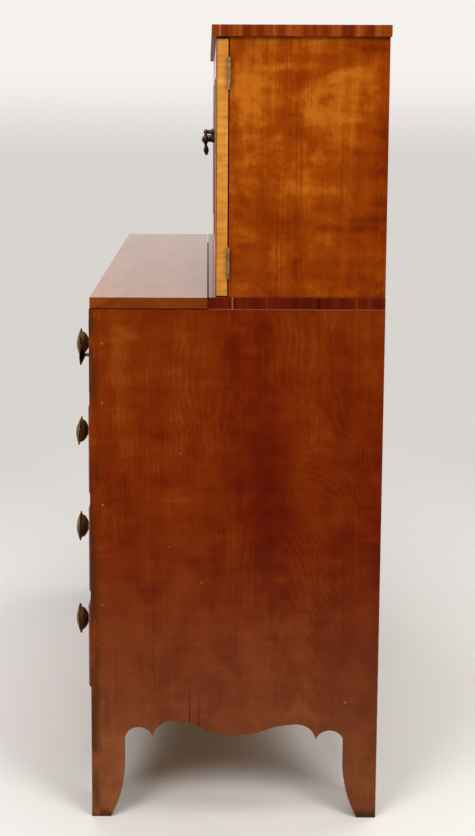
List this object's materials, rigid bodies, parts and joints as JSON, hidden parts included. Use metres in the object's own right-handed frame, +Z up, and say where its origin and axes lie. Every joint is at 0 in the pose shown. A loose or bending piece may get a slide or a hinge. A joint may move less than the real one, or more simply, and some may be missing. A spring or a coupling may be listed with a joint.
{
  "type": "chest of drawers with writing flap and cupboard",
  "caption": "Two-part wooden chest: long drawers and a fold-out writing flap on pull-out slides, with a set-back two-door cupboard above.",
  "frame": {"origin": "on the floor, under the middle of the bounding box", "axes": "+X across the front towards its right end as seen from the front, +Y towards the back, +Z up"},
  "size_m": [1.017, 0.575, 1.468],
  "materials": {
    "red_wood": "deep red-brown hardwood, old varnish",
    "flap_wood": "brown hardwood, polished on its upper face",
    "golden_wood": "golden orange-brown figured hardwood, satin varnish",
    "banded_wood": "dark red crossbanded edging, satin varnish",
    "curly_maple": "golden curly maple, satin varnish",
    "pale_wood": "plain secondary wood, unfinished and aged",
    "aged_brass": "dark antique brass",
    "hinge_brass": "worn brass"
  },
  "bodies": {
    "case": {"lower_side_left": "red_wood", "lower_side_right": "red_wood", "lower_backboards": "pale_wood", "bottom_board": "pale_wood", "front_skirt": "red_wood", "drawer_blades": "red_wood", "drawer_runners": "pale_wood", "drawer_stops": "pale_wood", "loper_partitions": "pale_wood", "foot_blocks": "pale_wood", "rear_brackets": "pale_wood", "writing_bed": "red_wood", "bed_hinge_leaves": "hinge_brass", "upper_side_left": "golden_wood", "upper_side_right": "golden_wood", "upper_bottom": "pale_wood", "upper_shelf": "pale_wood", "upper_backboards": "pale_wood", "base_frame": "red_wood", "upper_top": "golden_wood", "top_front_band": "banded_wood", "door_hinge_case_leaves": "hinge_brass"},
    "flap": {"writing_flap": "flap_wood", "flap_hinge_leaves": "hinge_brass"},
    "loper_left": {"loper_left": "red_wood", "loper_knob_left": "aged_brass"},
    "loper_right": {"loper_right": "red_wood", "loper_knob_right": "aged_brass"},
    "drawer_1": {"drawer_1_front": "red_wood", "drawer_1_sides": "pale_wood", "drawer_1_back": "pale_wood", "drawer_1_bottom": "pale_wood", "drawer_1_brasses": "aged_brass"},
    "drawer_2": {"drawer_2_front": "red_wood", "drawer_2_sides": "pale_wood", "drawer_2_back": "pale_wood", "drawer_2_bottom": "pale_wood", "drawer_2_brasses": "aged_brass"},
    "drawer_3": {"drawer_3_front": "red_wood", "drawer_3_sides": "pale_wood", "drawer_3_back": "pale_wood", "drawer_3_bottom": "pale_wood", "drawer_3_brasses": "aged_brass"},
    "drawer_4": {"drawer_4_front": "red_wood", "drawer_4_sides": "pale_wood", "drawer_4_back": "pale_wood", "drawer_4_bottom": "pale_wood", "drawer_4_brasses": "aged_brass"},
    "door_left": {"door_left_stiles": "curly_maple", "door_left_rails": "curly_maple", "door_left_panel": "red_wood", "door_left_hinge_leaves": "hinge_brass", "door_left_pull": "aged_brass"},
    "bail_left": {"door_left_bail": "aged_brass"},
    "door_right": {"door_right_stiles": "curly_maple", "door_right_rails": "curly_maple", "door_right_panel": "red_wood", "door_right_hinge_leaves": "hinge_brass", "door_right_pull": "aged_brass"},
    "bail_right": {"door_right_bail": "aged_brass"}
  },
  "joints": [
    {"name": "drawer_1_slide", "type": "slide", "parent": "case", "child": "drawer_1", "axis": [0, -1, 0], "range_m": [0, 0.36]},
    {"name": "drawer_2_slide", "type": "slide", "parent": "case", "child": "drawer_2", "axis": [0, -1, 0], "range_m": [0, 0.36]},
    {"name": "drawer_3_slide", "type": "slide", "parent": "case", "child": "drawer_3", "axis": [0, -1, 0], "range_m": [0, 0.36]},
    {"name": "drawer_4_slide", "type": "slide", "parent": "case", "child": "drawer_4", "axis": [0, -1, 0], "range_m": [0, 0.36]},
    {"name": "loper_left_slide", "type": "slide", "parent": "case", "child": "loper_left", "axis": [0, -1, 0], "range_m": [0, 0.2]},
    {"name": "loper_right_slide", "type": "slide", "parent": "case", "child": "loper_right", "axis": [0, -1, 0], "range_m": [0, 0.2]},
    {"name": "flap_hinge", "type": "hinge", "parent": "case", "child": "flap", "pos_m": [0, -0.2465, 0.96445], "axis": [1, 0, 0], "range_deg": [0, 180]},
    {"name": "door_left_hinge", "type": "hinge", "parent": "case", "child": "door_left", "pos_m": [-0.5049, 0.0034, 1.21625], "axis": [0, 0, -1], "range_deg": [0, 170]},
    {"name": "door_right_hinge", "type": "hinge", "parent": "case", "child": "door_right", "pos_m": [0.5049, 0.0034, 1.21625], "axis": [0, 0, 1], "range_deg": [0, 170]},
    {"name": "bail_left_hinge", "type": "hinge", "parent": "door_left", "child": "bail_left", "pos_m": [-0.032, -0.0377, 1.27125], "axis": [-1, 0, 0], "range_deg": [-15, 95]},
    {"name": "bail_right_hinge", "type": "hinge", "parent": "door_right", "child": "bail_right", "pos_m": [0.032, -0.0377, 1.27125], "axis": [-1, 0, 0], "range_deg": [-15, 95]}
  ]
}
